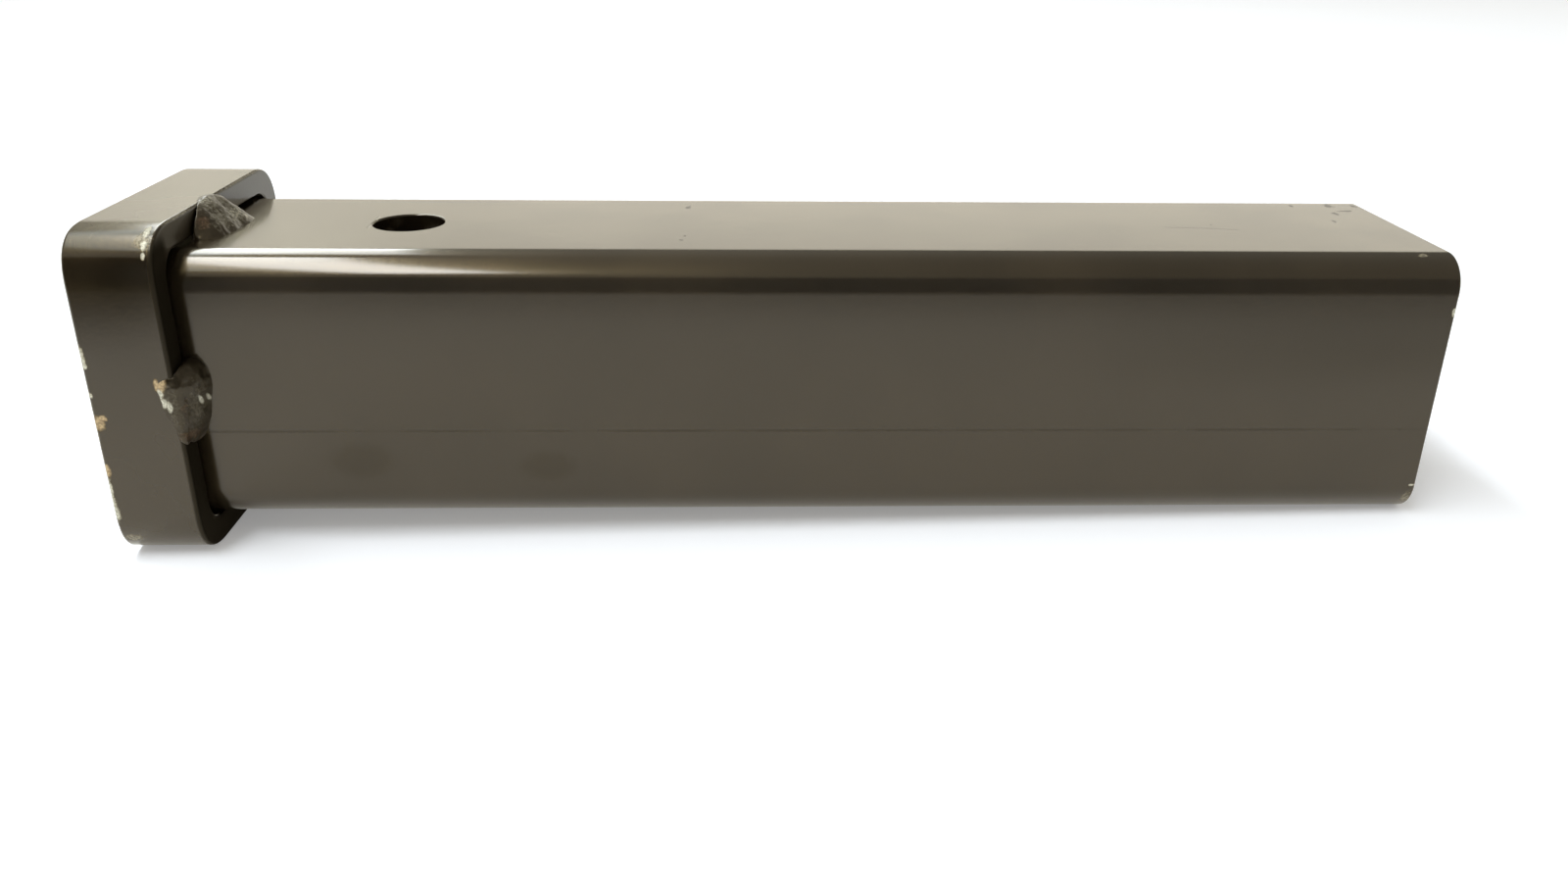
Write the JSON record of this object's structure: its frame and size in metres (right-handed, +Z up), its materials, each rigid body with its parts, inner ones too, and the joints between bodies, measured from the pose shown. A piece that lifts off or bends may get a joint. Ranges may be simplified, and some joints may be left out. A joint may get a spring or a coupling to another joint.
{
  "type": "receiver tube",
  "caption": "Square steel receiver tube with a hitch pin hole near its mouth and a square reinforcing collar held there by short fillet welds.",
  "frame": {"origin": "Under the middle of the part, level with the collar's underside", "axes": "+X along the tube from the collared mouth to the plain rear end, +Y across it, +Z up, along the pin hole"},
  "size_m": [0.3048, 0.0789, 0.078],
  "materials": {
    "tube_coat": "semi-gloss near-black coat on steel, lightly orange-peeled",
    "collar_coat": "semi-gloss near-black coat on steel, chipped along the mouth's edge",
    "weld_coat": "the same coat over rippled weld beads, chipped to bare metal in spots"
  },
  "bodies": {
    "root": {"tube": "tube_coat", "collar": "collar_coat", "weld_top": "weld_coat", "weld_front": "weld_coat", "weld_bottom": "weld_coat", "weld_back": "weld_coat"}
  },
  "joints": []
}
